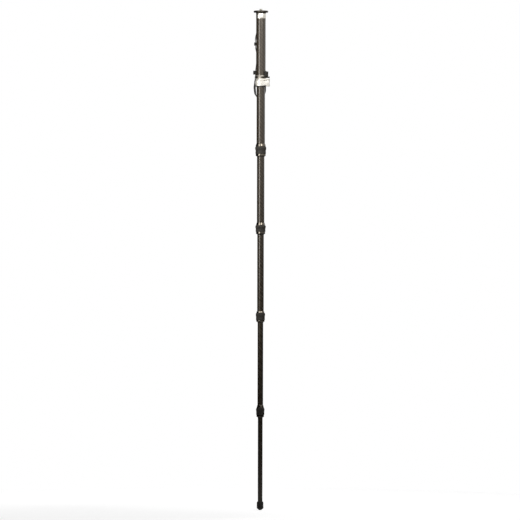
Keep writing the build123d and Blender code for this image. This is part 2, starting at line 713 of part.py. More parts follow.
for index, tube_top_z in enumerate(tube_tops):
    section = index + 2
    tube_radius = outer_radii[index + 1]
    shim_low_z = stop_heights[index] + seat_gap
    shim_high_z = tube_top_z - shim_top_margin
    tongue_z = (shim_low_z + shim_high_z) / 2
    tube = sleeve(bore_radii[index + 1], tube_radius, tube_ends[index], tube_top_z)
    tube -= rod_along_x(shim_hole_radius, tube_radius + overrun, tongue_z)
    save(f"tube_{section}", tube)

    shim_inner = tube_radius + shim_bond_gap
    shim_outer = bore_radii[index] - running_gap
    shims = sleeve(shim_inner, shim_outer, shim_low_z, shim_high_z)
    shims += rod_along_x(shim_tongue_radius, shim_outer, tongue_z) & rod(shim_outer, shim_low_z, shim_high_z)
    shims -= rod(tube_radius - tube_wall * shim_tongue_share, shim_low_z, shim_high_z)
    shims -= block((-shim_split / 2, shim_split / 2), (-shim_outer, shim_outer), (shim_low_z, shim_high_z))
    save(f"guide_shims_{section}", shims)

# Foot: a plug bonded in the last tube, a spike screwed in it, and a rubber foot on a threaded insert
last_radius = outer_radii[-1]
last_end_z = tube_ends[-1]
flange_low_z = last_end_z - plug_flange_height
stem_low_z = flange_low_z - plug_stem_length
plug_radius = bore_radii[-1] - bond_gap
spike_top_z = stem_low_z + spike_thread_length
plug = turned(*outline([
    (0, last_end_z + plug_spigot_length), (plug_radius, last_end_z + plug_spigot_length),
    (plug_radius, last_end_z), (last_radius - bond_gap, last_end_z), (last_radius - bond_gap, flange_low_z),
    (plug_stem_radius, flange_low_z), (plug_stem_radius, stem_low_z), (0, stem_low_z),
]).edges())
plug -= rod(spike_thread_radius + bond_gap, stem_low_z - overrun, spike_top_z + seat_gap)
save("foot_plug", plug)

shoulder_low_z = stem_low_z - spike_shoulder_height
spike_tip_z = foot_tip_z + spike_recess
save("foot_spike", turned(*outline([
    (0, spike_top_z), (spike_thread_radius, spike_top_z), (spike_thread_radius, stem_low_z),
    (spike_shoulder_radius, stem_low_z), (spike_shoulder_radius, shoulder_low_z),
    (spike_root_radius, shoulder_low_z), (spike_tip_radius, spike_tip_z), (0, spike_tip_z),
]).edges()))

foot_bore_radius = last_radius + foot_bore_clearance
insert_top_z = flange_low_z - foot_travel - foot_floor_gap
insert_low_z = insert_top_z - insert_height
save("foot_insert", sleeve(plug_stem_radius + running_gap, foot_bore_radius - running_gap,
                           insert_low_z, insert_top_z))

bore_floor_z = insert_low_z - seat_gap
well_floor_z = shoulder_low_z - foot_travel - foot_floor_gap
well_radius = plug_stem_radius + seat_gap
hole_top_radius = spike_root_radius + foot_floor_gap
foot = turned(*outline([
    (foot_bore_radius, foot_top_z), (foot_top_radius, foot_top_z),
    (foot_shoulder_radius, foot_top_z - foot_shoulder_drop), (foot_skirt_radius, foot_tip_z + foot_skirt_height),
    (foot_tip_radius, foot_tip_z), (foot_hole_radius, foot_tip_z), (hole_top_radius, well_floor_z),
    (well_radius, well_floor_z), (well_radius, bore_floor_z), (foot_bore_radius, bore_floor_z),
]).edges())
for drop in foot_groove_drops:
    groove_z = foot_top_z - drop
    foot -= sleeve(foot_shoulder_radius - foot_groove_depth, foot_skirt_radius + overrun,
                   groove_z - foot_groove_width, groove_z)
save("rubber_foot", foot)

# How far each section slides up when the pole is closed, and how the foot climbs its thread
risen = 0
free_lengths = [exposed_lengths[0], *(exposed - seal_lip_height for exposed in exposed_lengths[1:])]
free_lengths[-1] -= foot_travel
for section, free_length, tube_top_z in zip(range(2, 7), free_lengths, tube_tops):
    room = spigot_bottom_z - head_room - tube_top_z - risen
    travel = min(free_length - travel_gap, room)
    risen += travel
    print(f"section {section} travel {travel:.2f} mm")
print(f"length open {screw_stud_length - foot_tip_z:.2f} mm, closed {screw_stud_length - foot_tip_z - risen:.2f} mm")
print(f"lever pivot at {lever_pivot_x:.3f}, {lever_pivot_y:.3f} mm")
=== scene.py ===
# %% [markdown]
# # A telescopic camera monopod
# The object is a pole of six nested tubes with a round camera plate on top, a lever lock under
# the first tube, four twist locks below it and a rubber foot. A wrist strap hangs behind the
# first tube. The measured solids come in as a fixed frame. This lesson adds a camera, a plain
# light, finishes for every surface, and finer surfaces where a plain solid is too simple.

import math

import bmesh
import bpy
import numpy as np
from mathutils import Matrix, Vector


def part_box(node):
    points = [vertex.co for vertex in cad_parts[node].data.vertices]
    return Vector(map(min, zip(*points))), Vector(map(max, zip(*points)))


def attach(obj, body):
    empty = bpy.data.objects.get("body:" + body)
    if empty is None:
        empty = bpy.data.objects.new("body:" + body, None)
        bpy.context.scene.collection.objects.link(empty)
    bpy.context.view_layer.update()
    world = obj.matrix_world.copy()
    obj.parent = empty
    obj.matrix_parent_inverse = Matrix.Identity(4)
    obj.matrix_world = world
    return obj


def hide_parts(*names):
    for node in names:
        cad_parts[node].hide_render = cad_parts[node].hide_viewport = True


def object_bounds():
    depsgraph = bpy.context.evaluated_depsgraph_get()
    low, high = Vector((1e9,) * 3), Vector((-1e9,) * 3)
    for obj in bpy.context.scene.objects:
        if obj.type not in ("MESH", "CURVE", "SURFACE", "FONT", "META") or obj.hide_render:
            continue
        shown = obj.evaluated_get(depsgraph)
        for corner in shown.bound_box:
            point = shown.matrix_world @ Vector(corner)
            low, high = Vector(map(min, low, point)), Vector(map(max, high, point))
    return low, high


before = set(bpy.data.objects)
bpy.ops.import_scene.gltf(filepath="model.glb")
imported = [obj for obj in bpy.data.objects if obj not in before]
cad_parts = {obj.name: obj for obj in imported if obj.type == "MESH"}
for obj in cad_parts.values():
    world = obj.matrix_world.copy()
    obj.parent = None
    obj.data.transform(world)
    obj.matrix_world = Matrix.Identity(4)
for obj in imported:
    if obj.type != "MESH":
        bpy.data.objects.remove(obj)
cad_low, cad_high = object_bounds()
MM = 0.001
print("nodes", len(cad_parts), "height in mm", round((cad_high.z - cad_low.z) / MM, 1))

# %% [markdown]
# ## Camera
# The photograph was taken from far away at half the pole's height, so nothing in it converges.
# An orthographic camera would also do, but a very long lens keeps a little real perspective.
# The distance follows from the width that the picture covers at the pole's axis. The pole leans
# in the picture by a tenth of a degree, which is a roll of the camera.

# %% Camera at the photograph's viewing angle
PICTURE_PIXELS = 520
PIXEL = 3.104 * MM
AXIS_PIXEL_X = 260.52
PLATE_PIXEL_Y = 10.72
ROLL = math.radians(0.105)
LENS = 300.0
SENSOR = 36.0
FAR_CLIP = 100.0

picture_width = PICTURE_PIXELS * PIXEL
camera_x = (PICTURE_PIXELS / 2 - AXIS_PIXEL_X) * PIXEL
camera_z = (PLATE_PIXEL_Y - PICTURE_PIXELS / 2) * PIXEL
camera_distance = picture_width * LENS / SENSOR

camera = bpy.data.objects.new("camera", bpy.data.cameras.new("camera"))
camera.data.lens = LENS
camera.data.sensor_width = SENSOR
camera.data.clip_end = FAR_CLIP
camera.location = (camera_x, -camera_distance, camera_z)
camera.rotation_euler = (math.radians(90), -ROLL, 0)
bpy.context.scene.collection.objects.link(camera)
bpy.context.scene.camera = camera
bpy.context.scene.view_settings.view_transform = "Standard"
print("camera distance in m", round(camera_distance, 2), "height in m", round(camera_z, 3))

# %% [markdown]
# ## Nodes and colours
# Colours are written as on a paint chart, in sRGB hex, and turned to linear light in one place.
# One small function adds a node of any kind, sets its properties and fills or links its sockets.

# %% Helpers for colours and nodes


def linear(code):
    """sRGB hex to linear RGBA: below 0.04045 divide by 12.92, above it raise to the power 2.4."""
    srgb = np.array([int(code[i:i + 2], 16) for i in (1, 3, 5)]) / 255
    light = np.where(srgb <= 0.04045, srgb / 12.92, ((srgb + 0.055) / 1.055) ** 2.4)
    return (*light.tolist(), 1.0)


def fill(tree, node, sockets):
    """Fills sockets in order or by name: links a socket or a node's first output, and sets the rest."""
    for name, value in sockets.items() if isinstance(sockets, dict) else enumerate(sockets):
        if isinstance(value, bpy.types.Node):
            value = value.outputs[0]
        if isinstance(value, bpy.types.NodeSocket):
            tree.links.new(value, node.inputs[name])
        else:
            node.inputs[name].default_value = value


def add(tree, kind, sockets=(), **settings):
    """Adds one node, sets its own properties and fills its sockets."""
    node = tree.nodes.new(kind)
    for name, value in settings.items():
        setattr(node, name, value)
    fill(tree, node, sockets)
    return node


def new_material(name, **constants):
    """A material with one Principled shader, whose constants are set on its own sockets."""
    material = bpy.data.materials.new(name)
    material.use_nodes = True
    tree = material.node_tree
    tree.nodes.clear()
    sockets = {key.replace("_", " "): value for key, value in constants.items()}
    shader = add(tree, "ShaderNodeBsdfPrincipled", sockets)
    add(tree, "ShaderNodeOutputMaterial", {"Surface": shader})
    return material, tree, shader


# %% [markdown]
# ## World, floor and light
# Camera, glossy and transmission rays meet a white world, and the other rays a dimmer one that
# only fills the shadows. A tall soft box stands to the left of the camera and draws the long
# streak down the upper tubes, and a small one high on the right widens it near the top. In the
# photograph the light falls off towards the foot. So a black flag under the tall soft box keeps
# its light from the lower tubes, and a curved paper drape hangs round the pole, bright at the
# top and dark at the bottom. A black card on the left and behind, which only mirrors see, gives
# the tubes their dark left edge. The camera sees none of the cards.

# %% World
AMBIENT = 0.10
WHITE = (1, 1, 1, 1)
world = bpy.data.worlds.new("studio")
bpy.context.scene.world = world
world.use_nodes = True
tree = world.node_tree
tree.nodes.clear()
rays = add(tree, "ShaderNodeLightPath").outputs
seen = add(tree, "ShaderNodeMath", [rays["Is Camera Ray"], rays["Is Glossy Ray"]], operation="MAXIMUM")
seen = add(tree, "ShaderNodeMath", [seen, rays["Is Transmission Ray"]], operation="MAXIMUM")
strength = add(tree, "ShaderNodeMapRange", {"Value": seen, "To Min": AMBIENT, "To Max": 1.0})
background = add(tree, "ShaderNodeBackground", {"Color": WHITE, "Strength": strength})
add(tree, "ShaderNodeOutputWorld", {"Surface": background})
print("world", world.name, "with", AMBIENT, "of its light in the shadows")

# %% Soft boxes, with sizes and distances in metres and power in watts
KEY_SIZE = (0.32, 1.46)
KEY_TURN = math.radians(-38)
KEY_HEIGHT = -0.11
KEY_POWER = 12.5
FILL_SIZE = (0.5, 0.5)
FILL_TURN = math.radians(22)
FILL_HEIGHT = 0.35
FILL_POWER = 8.5
BOX_DISTANCE = 1.2


def round_the_pole(turn, distance, height):
    """A place by its turn from the camera's side, to the right if positive, and its distance."""
    return distance * math.sin(turn), -distance * math.cos(turn), height


def soft_box(name, size, turn, height, power):
    """A rectangular lamp that faces the pole."""
    lamp = bpy.data.objects.new(name, bpy.data.lights.new(name, "AREA"))
    lamp.data.shape = "RECTANGLE"
    lamp.data.size, lamp.data.size_y = size
    lamp.data.energy = power
    lamp.location = round_the_pole(turn, BOX_DISTANCE, height)
    lamp.rotation_euler = (math.radians(90), 0, turn)
    bpy.context.scene.collection.objects.link(lamp)
    print(name, "with", power, "W")


soft_box("tall_soft_box", KEY_SIZE, KEY_TURN, KEY_HEIGHT, KEY_POWER)
soft_box("small_soft_box", FILL_SIZE, FILL_TURN, FILL_HEIGHT, FILL_POWER)

# %% Helpers for surfaces made of a grid of points


def full_turn(columns):
    """Equal angles round a circle. The last one is left out, because it is the first again."""
    return np.linspace(0, 2 * np.pi, columns + 1)[:-1]


def grid_faces(rows, columns, close_rows=False, close_columns=False):
    """Quads of a grid of points, joined end to end where a direction closes on itself."""
    row = np.arange(rows if close_rows else rows - 1)
    column = np.arange(columns if close_columns else columns - 1)
    r, c = [a.ravel() for a in np.meshgrid(row, column, indexing="ij")]
    start, next_start, c_next = r * columns, (r + 1) % rows * columns, (c + 1) % columns
    return np.stack([start + c, start + c_next, next_start + c_next, next_start + c], 1)


def new_object(name, points, faces, material):
    """A mesh object at the origin from an array of points and an array of faces, shaded smooth."""
    mesh = bpy.data.meshes.new(name)
    mesh.from_pydata(points.reshape(-1, 3).tolist(), [], faces.tolist())
    mesh.polygons.foreach_set("use_smooth", np.ones(len(mesh.polygons), bool))
    mesh.materials.append(material)
    piece = bpy.data.objects.new(name, mesh)
    bpy.context.scene.collection.objects.link(piece)
    return piece


# %% Black card on the left, with turns in degrees from the camera's side
CARD_DISTANCE = 1.4
CARD_HEIGHTS = (-1.9, 0.9)
CARD_COLUMNS = 49
LEFT_CARD_TURNS = (-62, -178)
DRAPE_TURNS = (-62, 178)


def hang_card(name, turns, material):
    """A curved card round the pole, which neither the camera nor any shadow sees."""
    turns = np.radians(np.linspace(*turns, CARD_COLUMNS))
    wall = np.array([[round_the_pole(turn, CARD_DISTANCE, height) for turn in turns]
                     for height in CARD_HEIGHTS])
    card = new_object(name, wall, grid_faces(2, CARD_COLUMNS), material)
    card.visible_camera = card.visible_shadow = card.visible_transmission = False
    print("card", name, "faces", len(card.data.polygons))
    return card


black_flock, _, _ = new_material("black flocked card", Base_Color=linear("#0B0B0B"), Roughness=1.0)
left_card = hang_card("left_card", LEFT_CARD_TURNS, black_flock)
left_card.visible_diffuse = False

# %% Black flag under the tall soft box
FLAG_HEIGHT = -0.98
FLAG_REACH = (0.30, 1.15)
FLAG_HALF_WIDTH = 0.45
corners = np.array([[(side * FLAG_HALF_WIDTH, -reach, FLAG_HEIGHT) for side in (-1, 1)]
                    for reach in FLAG_REACH])
cosine, sine = math.cos(KEY_TURN), math.sin(KEY_TURN)
swing = np.array([(cosine, sine, 0), (-sine, cosine, 0), (0, 0, 1)])
flag = new_object("flag", corners @ swing, grid_faces(2, 2), black_flock)
flag.visible_camera = False
print("flag at", FLAG_HEIGHT, "m")

# %% Graded drape, whose dark and bright ends are each a height in metres and a glow
DRAPE_DARK, DRAPE_BRIGHT = (-1.05, 0.0), (0.05, 0.92)
DRAPE_FILL = 0.6
graded_paper, tree, shader = new_material("graded paper drape", Base_Color=linear("#000000"),
                                          Roughness=1.0)
place = add(tree, "ShaderNodeTexCoord").outputs["Object"]
height = add(tree, "ShaderNodeSeparateXYZ", [place]).outputs["Z"]
(dark_z, dark), (bright_z, bright) = DRAPE_DARK, DRAPE_BRIGHT
grade = add(tree, "ShaderNodeMapRange", {"Value": height, "From Min": dark_z, "From Max": bright_z,
                                         "To Min": dark, "To Max": bright},
            interpolation_type="SMOOTHSTEP")
diffuse = add(tree, "ShaderNodeLightPath").outputs["Is Diffuse Ray"]
share = add(tree, "ShaderNodeMapRange", {"Value": diffuse, "To Min": 1.0, "To Max": DRAPE_FILL})
glow = add(tree, "ShaderNodeMath", [grade, share], operation="MULTIPLY")
fill(tree, shader, {"Emission Color": WHITE, "Emission Strength": glow})
drape = hang_card("drape", DRAPE_TURNS, graded_paper)

# %% Floor, which glows for the camera so that it reads as white paper
FLOOR_RADIUS = 1.3
FLOOR_MIDDLE = 0.1
FLOOR_COLUMNS = 96
FLOOR_GLOW, FLOOR_MIRRORED = 0.85, 0.35
floor_white, tree, shader = new_material("white paper floor", Base_Color=linear("#C8C8C8"), Roughness=1.0)
rays = add(tree, "ShaderNodeLightPath").outputs
mirrored = add(tree, "ShaderNodeMath", [rays["Is Glossy Ray"], FLOOR_MIRRORED], operation="MULTIPLY")
glow = add(tree, "ShaderNodeMath", [rays["Is Camera Ray"], FLOOR_GLOW, mirrored],
           operation="MULTIPLY_ADD")
fill(tree, shader, {"Emission Color": WHITE, "Emission Strength": glow})
turns = full_turn(FLOOR_COLUMNS)
radii = np.array([0.0, FLOOR_MIDDLE, FLOOR_RADIUS])
disc = np.stack([np.outer(radii, np.cos(turns)), np.outer(radii, np.sin(turns)),
                 np.full((len(radii), FLOOR_COLUMNS), cad_low.z)], -1)
floor = new_object("floor", disc, grid_faces(len(radii), FLOOR_COLUMNS, close_columns=True), floor_white)
print("floor faces", len(floor.data.polygons))

# %% [markdown]
# ## Patterns from real sizes
# Every pattern reads Object coordinates, which are metres in the pole's own frame, so a scale is
# one divided by a real size. Fine grain comes from noise, which seldom leaves the span from 0.3
# to 0.7. Its bump is only a few hundredths of a millimetre high, as it is on blasted or moulded
# surfaces.

# %% Helpers for patterns
NOISE_SPAN = {"From Min": 0.3, "From Max": 0.7}


def object_place(tree):
    """Object coordinates as three sockets, X, Y and Z in metres."""
    place = add(tree, "ShaderNodeTexCoord").outputs["Object"]
    return add(tree, "ShaderNodeSeparateXYZ", [place]).outputs


def grain(tree, size, detail=2.0, stretch=(1, 1, 1)):
    """Noise with features of a given size in metres. Stretch lengthens them along an axis."""
    place = add(tree, "ShaderNodeTexCoord").outputs["Object"]
    scaled = add(tree, "ShaderNodeMapping", {"Vector": place, "Scale": [1 / s for s in stretch]})
    cloud = add(tree, "ShaderNodeTexNoise", {"Vector": scaled, "Scale": 1 / size, "Detail": detail})
    return cloud.outputs["Fac"]


def round_wave(tree, way):
    """sin(π · fraction of the way): zero at the edges of each cell and one in its middle."""
    part = add(tree, "ShaderNodeMath", [way], operation="FRACT")
    angle = add(tree, "ShaderNodeMath", [part, math.pi], operation="MULTIPLY")
    return add(tree, "ShaderNodeMath", [angle], operation="SINE")


# %% [markdown]
# ## Carbon tubes
# Each tube is rolled from carbon cloth and lacquered. The cloth is a two by two twill: every tow
# passes over two and under two, one step on in each row, which draws diagonals. The pattern
# counts cells round the tube from the angle and along it from the height. A real tow is about
# 2 mm wide. It is drawn 3 mm wide here, because a pixel covers 3.1 mm. The cloth was wound with
# shrink tape, which leaves a slow spiral in the lacquer. It breaks the long streak into dashes.

# %% Lacquered carbon twill
TOW = 3.0 * MM
TAPE_PITCH = 27.0 * MM
TAPE_DRIFT, TAPE_DRIFT_SIZE = 0.6, 40 * MM
TWILL_RELIEF = 0.05 * MM
WARM_LACQUER = "#FFF0DC"


def carbon_twill(name, radius, colours_with_painted_sheen):
    """Cell (i, j) shows the lengthwise tow where (i + j) modulo 4 is below 2, else the crosswise one."""
    material, tree, shader = new_material(name, IOR=1.5, Specular_Tint=linear(WARM_LACQUER),
                                          Coat_Weight=0.6, Coat_Roughness=0.2, Coat_IOR=1.5)
    x, y, z = object_place(tree)
    angle = add(tree, "ShaderNodeMath", [y, x], operation="ARCTAN2")
    turn = add(tree, "ShaderNodeMath", [angle, 2 * math.pi], operation="DIVIDE")
    cells = 4 * round(2 * math.pi * radius / TOW / 4)
    u = add(tree, "ShaderNodeMath", [turn, cells], operation="MULTIPLY")
    v = add(tree, "ShaderNodeMath", [z, TOW], operation="DIVIDE")
    i, j = [add(tree, "ShaderNodeMath", [way], operation="FLOOR") for way in (u, v)]
    total = add(tree, "ShaderNodeMath", [i, j], operation="ADD")
    step = add(tree, "ShaderNodeMath", [total, 4.0], operation="FLOORED_MODULO")
    over = add(tree, "ShaderNodeMath", [step, 2.0], operation="LESS_THAN")
    crowns = add(tree, "ShaderNodeMix", {"Factor": over, "A": round_wave(tree, v),
                                         "B": round_wave(tree, u)})
    drift = add(tree, "ShaderNodeMath", [grain(tree, TAPE_DRIFT_SIZE), TAPE_DRIFT], operation="MULTIPLY")
    climb = add(tree, "ShaderNodeMath", [z, TAPE_PITCH], operation="DIVIDE")
    round_tube = add(tree, "ShaderNodeMath", [turn, drift], operation="ADD")
    spiral = add(tree, "ShaderNodeMath", [climb, round_tube], operation="ADD")
    phase = add(tree, "ShaderNodeMath", [spiral, 2 * math.pi], operation="MULTIPLY")
    tape = add(tree, "ShaderNodeMath", [phase], operation="SINE")
    # The lengthwise tows are painted lighter than the crosswise ones, a painted sheen for how the two
    # fibre directions reflect light.
    colour = add(tree, "ShaderNodeMix", {"Factor": over, "A": linear(colours_with_painted_sheen[0]), "B": linear(colours_with_painted_sheen[1])},
                 data_type="RGBA")
    fill(tree, shader, {
        "Base Color": colour.outputs["Result"],
        "Roughness": add(tree, "ShaderNodeMapRange", {"Value": tape, "From Min": -1, "From Max": 1,
                                                      "To Min": 0.30, "To Max": 0.46}),
        "Normal": add(tree, "ShaderNodeBump", {"Height": crowns.outputs["Result"],
                                               "Distance": TWILL_RELIEF, "Strength": 1.0}),
    })
    return material


# %% Paint the tubes


def paint(material, *nodes):
    """Gives CAD nodes a finish by their material slots."""
    for node in nodes:
        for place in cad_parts[node].material_slots:
            place.material = material
    print(material.name, "on", *nodes)


# Both colours are the carbon's own dark brown, and the step between them is a painted sheen of the tows.
TOW_COLOURS_WITH_PAINTED_SHEEN = ("#221E17", "#383025")
for number in range(1, 7):
    tube_low, tube_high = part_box(f"tube_{number}")
    radius = (tube_high[0] - tube_low[0]) / 2
    paint(carbon_twill(f"lacquered carbon twill {number}", radius, TOW_COLOURS_WITH_PAINTED_SHEEN), f"tube_{number}")
    print("tube", number, "diameter in mm", round(2 * radius / MM, 1))

# %% [markdown]
# ## Metals
# The cap is satin silver and turned, so its marks run round it. The lever is cast, blasted and
# lacquered silver, so it has an even grain. The collar is lacquered a slightly darker silver, and
# its neck above the flange is grey. The plate and the swivel ring are black anodised aluminium.
# The locks' ferrules and rings are a lighter gunmetal with a tight sheen. A solid that a finer
# surface stands for later isn't painted, because it is hidden.

# %% Metal finishes
CAST_GRIT, CAST_RELIEF = 0.35 * MM, 0.01 * MM
LATHE_SQUEEZE, LATHE_RELIEF = (1, 1, 0.06), 0.008 * MM


def blasted(name, code, roughness, metallic=1.0):
    """Anodised or lacquered metal over a bead-blasted skin: even grain, slightly uneven sheen."""
    material, tree, shader = new_material(name, Base_Color=linear(code), Metallic=metallic)
    fill(tree, shader, {
        "Roughness": add(tree, "ShaderNodeMapRange", {"Value": grain(tree, 6 * MM), **NOISE_SPAN,
                                                      "To Min": roughness - 0.05,
                                                      "To Max": roughness + 0.07}),
        "Normal": add(tree, "ShaderNodeBump", {"Height": grain(tree, CAST_GRIT),
                                               "Distance": CAST_RELIEF, "Strength": 1.0}),
    })
    return material


def turned_metal(name, code, roughness, metallic=1.0):
    """Metal from the lathe: grooves run round the pole's axis, so the noise is squeezed along Z."""
    material, tree, shader = new_material(name, Base_Color=linear(code), Metallic=metallic)
    marks = grain(tree, 4 * MM, 4.0, LATHE_SQUEEZE)
    fill(tree, shader, {
        "Roughness": add(tree, "ShaderNodeMapRange", {"Value": marks, **NOISE_SPAN,
                                                      "To Min": roughness - 0.06,
                                                      "To Max": roughness + 0.08}),
        "Normal": add(tree, "ShaderNodeBump", {"Height": marks, "Distance": LATHE_RELIEF,
                                               "Strength": 1.0}),
    })
    return material


# Silver lacquer is aluminium flake in a clear binder. It shines like metal and scatters like paint.
SILVER_FLAKE = 0.4
COLLAR_SILVER, NECK_GREY = "#CCC8BE", "#8E887E"
satin_silver = turned_metal("satin anodised aluminium, turned", "#DAD6CC", 0.36)
cast_silver = blasted("silver lacquered die casting", "#D9D5CC", 0.42, SILVER_FLAKE)
black_anodised = blasted("black anodised aluminium", "#3E3B35", 0.33)
gunmetal = turned_metal("gunmetal anodised aluminium, turned", "#6B655B", 0.22)
bright_steel = turned_metal("zinc plated steel", "#C9C6BE", 0.25)
plain_badge = blasted("brushed aluminium badge", "#DDD9D0", 0.45)
collar_metal = turned_metal("silver and grey lacquered collar", COLLAR_SILVER, 0.40, SILVER_FLAKE)
plug_metal = turned_metal("turned aluminium plug", "#A5A198", 0.32)
brass = turned_metal("turned brass", "#B99B57", 0.28)

# %% The collar's grey neck, which starts a neck's height below the collar's top
NECK_HEIGHT = 10.6 * MM
flange_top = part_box("lock_collar")[1][2] - NECK_HEIGHT
tree = collar_metal.node_tree
on_neck = add(tree, "ShaderNodeMath", [object_place(tree)[2], flange_top], operation="GREATER_THAN")
colour = add(tree, "ShaderNodeMix", {"Factor": on_neck, "A": linear(COLLAR_SILVER),
                                     "B": linear(NECK_GREY)}, data_type="RGBA")
fill(tree, tree.nodes["Principled BSDF"], {"Base Color": colour.outputs["Result"]})
print("grey neck from", round(flange_top / MM, 1), "mm up")

# %% Paint the metal parts
paint(bright_steel, "plate_screws", "lever_pin", "clamp_bolt", "clamp_washer", "clamp_nut", "foot_spike")
paint(plug_metal, "foot_plug")
paint(brass, "foot_insert")

# %% [markdown]
# ## Rubber and plastic
# Moulded rubber is matt and a little dusty, so its sheen changes slowly over the surface. The
# clip and the slider are moulded nylon with a spark-eroded grain.

# %% Rubber and plastic finishes


def moulded(name, codes, roughness, grit, depth, specular=0.5):
    """Moulded rubber or plastic: slow change between two near colours, and a fine moulded grain."""
    material, tree, shader = new_material(name, IOR=1.5, Specular_IOR_Level=specular)
    cloud = grain(tree, 9 * MM, 3.0)
    change = add(tree, "ShaderNodeMapRange", {"Value": cloud, **NOISE_SPAN, "To Min": 0, "To Max": 1})
    colour = add(tree, "ShaderNodeMix", {"Factor": change, "A": linear(codes[0]), "B": linear(codes[1])},
                 data_type="RGBA")
    fill(tree, shader, {
        "Base Color": colour.outputs["Result"],
        "Roughness": add(tree, "ShaderNodeMapRange", {"Value": cloud, **NOISE_SPAN,
                                                      "To Min": roughness - 0.06,
                                                      "To Max": roughness + 0.08}),
        "Normal": add(tree, "ShaderNodeBump", {"Height": grain(tree, grit), "Distance": depth,
                                               "Strength": 1.0}),
    })
    return material


grip_rubber = moulded("moulded grip rubber", ("#2C2924", "#37342E"), 0.62, 0.8 * MM, 0.03 * MM, 0.36)
foot_rubber = moulded("moulded foot rubber", ("#2A2823", "#35322C"), 0.66, 0.8 * MM, 0.03 * MM)
pad_rubber = moulded("moulded pad rubber", ("#24221F", "#2C2A26"), 0.75, 0.6 * MM, 0.03 * MM)
seal_rubber = moulded("seal rubber", ("#201F1C", "#262420"), 0.7, 0.6 * MM, 0.02 * MM)
clip_nylon = moulded("moulded black nylon", ("#1A1815", "#22201C"), 0.5, 0.5 * MM, 0.02 * MM, 0.3)
acetal = moulded("black acetal", ("#22211E", "#2A2926"), 0.4, 0.5 * MM, 0.01 * MM)
paint(seal_rubber, *[f"dust_seal_{n}" for n in range(2, 6)])
paint(acetal, "lock_liner", "cam_washer", *[f"collet_{n}" for n in range(2, 6)],
      *[f"guide_shims_{n}" for n in range(2, 7)])

# %% [markdown]
# ## Rubber grips
# Each twist lock has a soft grip with two swells and a waist between them, so that fingers find
# it in the cold. The plain solid has that outline but not the shallow lengthwise flutes. The
# grip is one closed surface: its radius depends on the height and on the angle round the pole.

# %% Helpers for eased curves, sharp edges and pieces that ride on a body


def eased(x, places, values):
    """Passes through each value at its place, and eases between two of them by 3t² − 2t³."""
    places, values = np.asarray(places, float), np.asarray(values, float)
    i = np.clip(np.searchsorted(places, x, side="right") - 1, 0, len(places) - 2)
    t = (x - places[i]) / (places[i + 1] - places[i])
    return values[i] + (values[i + 1] - values[i]) * t * t * (3 - 2 * t)


def keep_edges(piece, angle):
    """Marks edges sharper than an angle in degrees, so that smooth shading stops at them."""
    piece.data.set_sharp_from_angle(angle=math.radians(angle))


def dress(piece, body, slot, *replaced):
    """Makes a new piece ride on a body and hides the nodes it replaces. The slot is not used."""
    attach(piece, body)
    if replaced:
        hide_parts(*replaced)
    print(piece.name, "faces", len(piece.data.polygons), "on", body)


# %% Fluted grips
GRIP_CRESTS = [2.45 * MM, 2.85 * MM, 2.35 * MM, 2.65 * MM]
GRIP_WAISTS = [0.9 * MM, 1.45 * MM, 1.5 * MM, 1.85 * MM]
GRIP_SECONDS = [1.35 * MM, 1.75 * MM, 1.65 * MM, 2.0 * MM]
GRIP_PLACES = [0.0, 0.16, 0.38, 0.80, 1.0]
GRIP_ROWS = 41
END_TO_WAIST = 0.9
FLUTES, FLUTE_COLUMNS = 22, 8
FLUTE_SHARE = 0.34
BOND = 0.05 * MM
# Shares of the grip's height: its rounded end, and where its flutes reach their full depth.
ROUND_SHARE, FADE_SHARE = 0.05, 0.14


def grip_surface(low, high, core, swells):
    """Radius = core + swell(height) · rounded ends · (1 − flute share · flutes(angle) · fade)."""
    share = 0.5 - 0.5 * np.cos(np.linspace(0, np.pi, GRIP_ROWS))
    turn = full_turn(FLUTES * FLUTE_COLUMNS)
    from_end = np.minimum(share, 1 - share)
    ends = np.sqrt(1 - (1 - np.clip(from_end / ROUND_SHARE, 0, 1)) ** 2)
    fade = eased(from_end, [0, ROUND_SHARE, FADE_SHARE, 0.5], [0, 0, 1, 1])
    flutes = (0.5 + 0.5 * np.cos(FLUTES * turn)) ** 2
    depth = 1 - FLUTE_SHARE * fade[:, None] * flutes[None, :]
    swell = (eased(share, GRIP_PLACES, swells) - BOND) * ends
    radius = core + BOND + swell[:, None] * depth
    height = np.repeat((low + (high - low) * share)[:, None], len(turn), 1)
    return np.stack([radius * np.cos(turn), radius * np.sin(turn), height], -1)


for number, crest, waist, second in zip(range(2, 6), GRIP_CRESTS, GRIP_WAISTS, GRIP_SECONDS):
    grip_low, grip_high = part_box(f"grip_{number}")
    core = (grip_high[0] - grip_low[0]) / 2 - crest
    swells = [END_TO_WAIST * waist, second, waist, crest, waist]
    points = grip_surface(grip_low[2], grip_high[2], core, swells)
    faces = grid_faces(*points.shape[:2], close_rows=True, close_columns=True)
    grip = new_object(f"fluted_grip_{number}", points, faces, grip_rubber)
    keep_edges(grip, 60.0)
    dress(grip, f"twist_lock_{number}", "grip_rubber", f"grip_{number}")

# %% [markdown]
# ## Wrist strap
# The strap is one band of flat nylon webbing, sewn into a loop. It hangs in long soft curves
# behind the top tube and turns a little on itself between the places that hold it, so its edge
# looks thin near the clip and broad lower down. The route is a polygon with rounded corners.
# A flat oblong section is carried along it and turned by the twist.

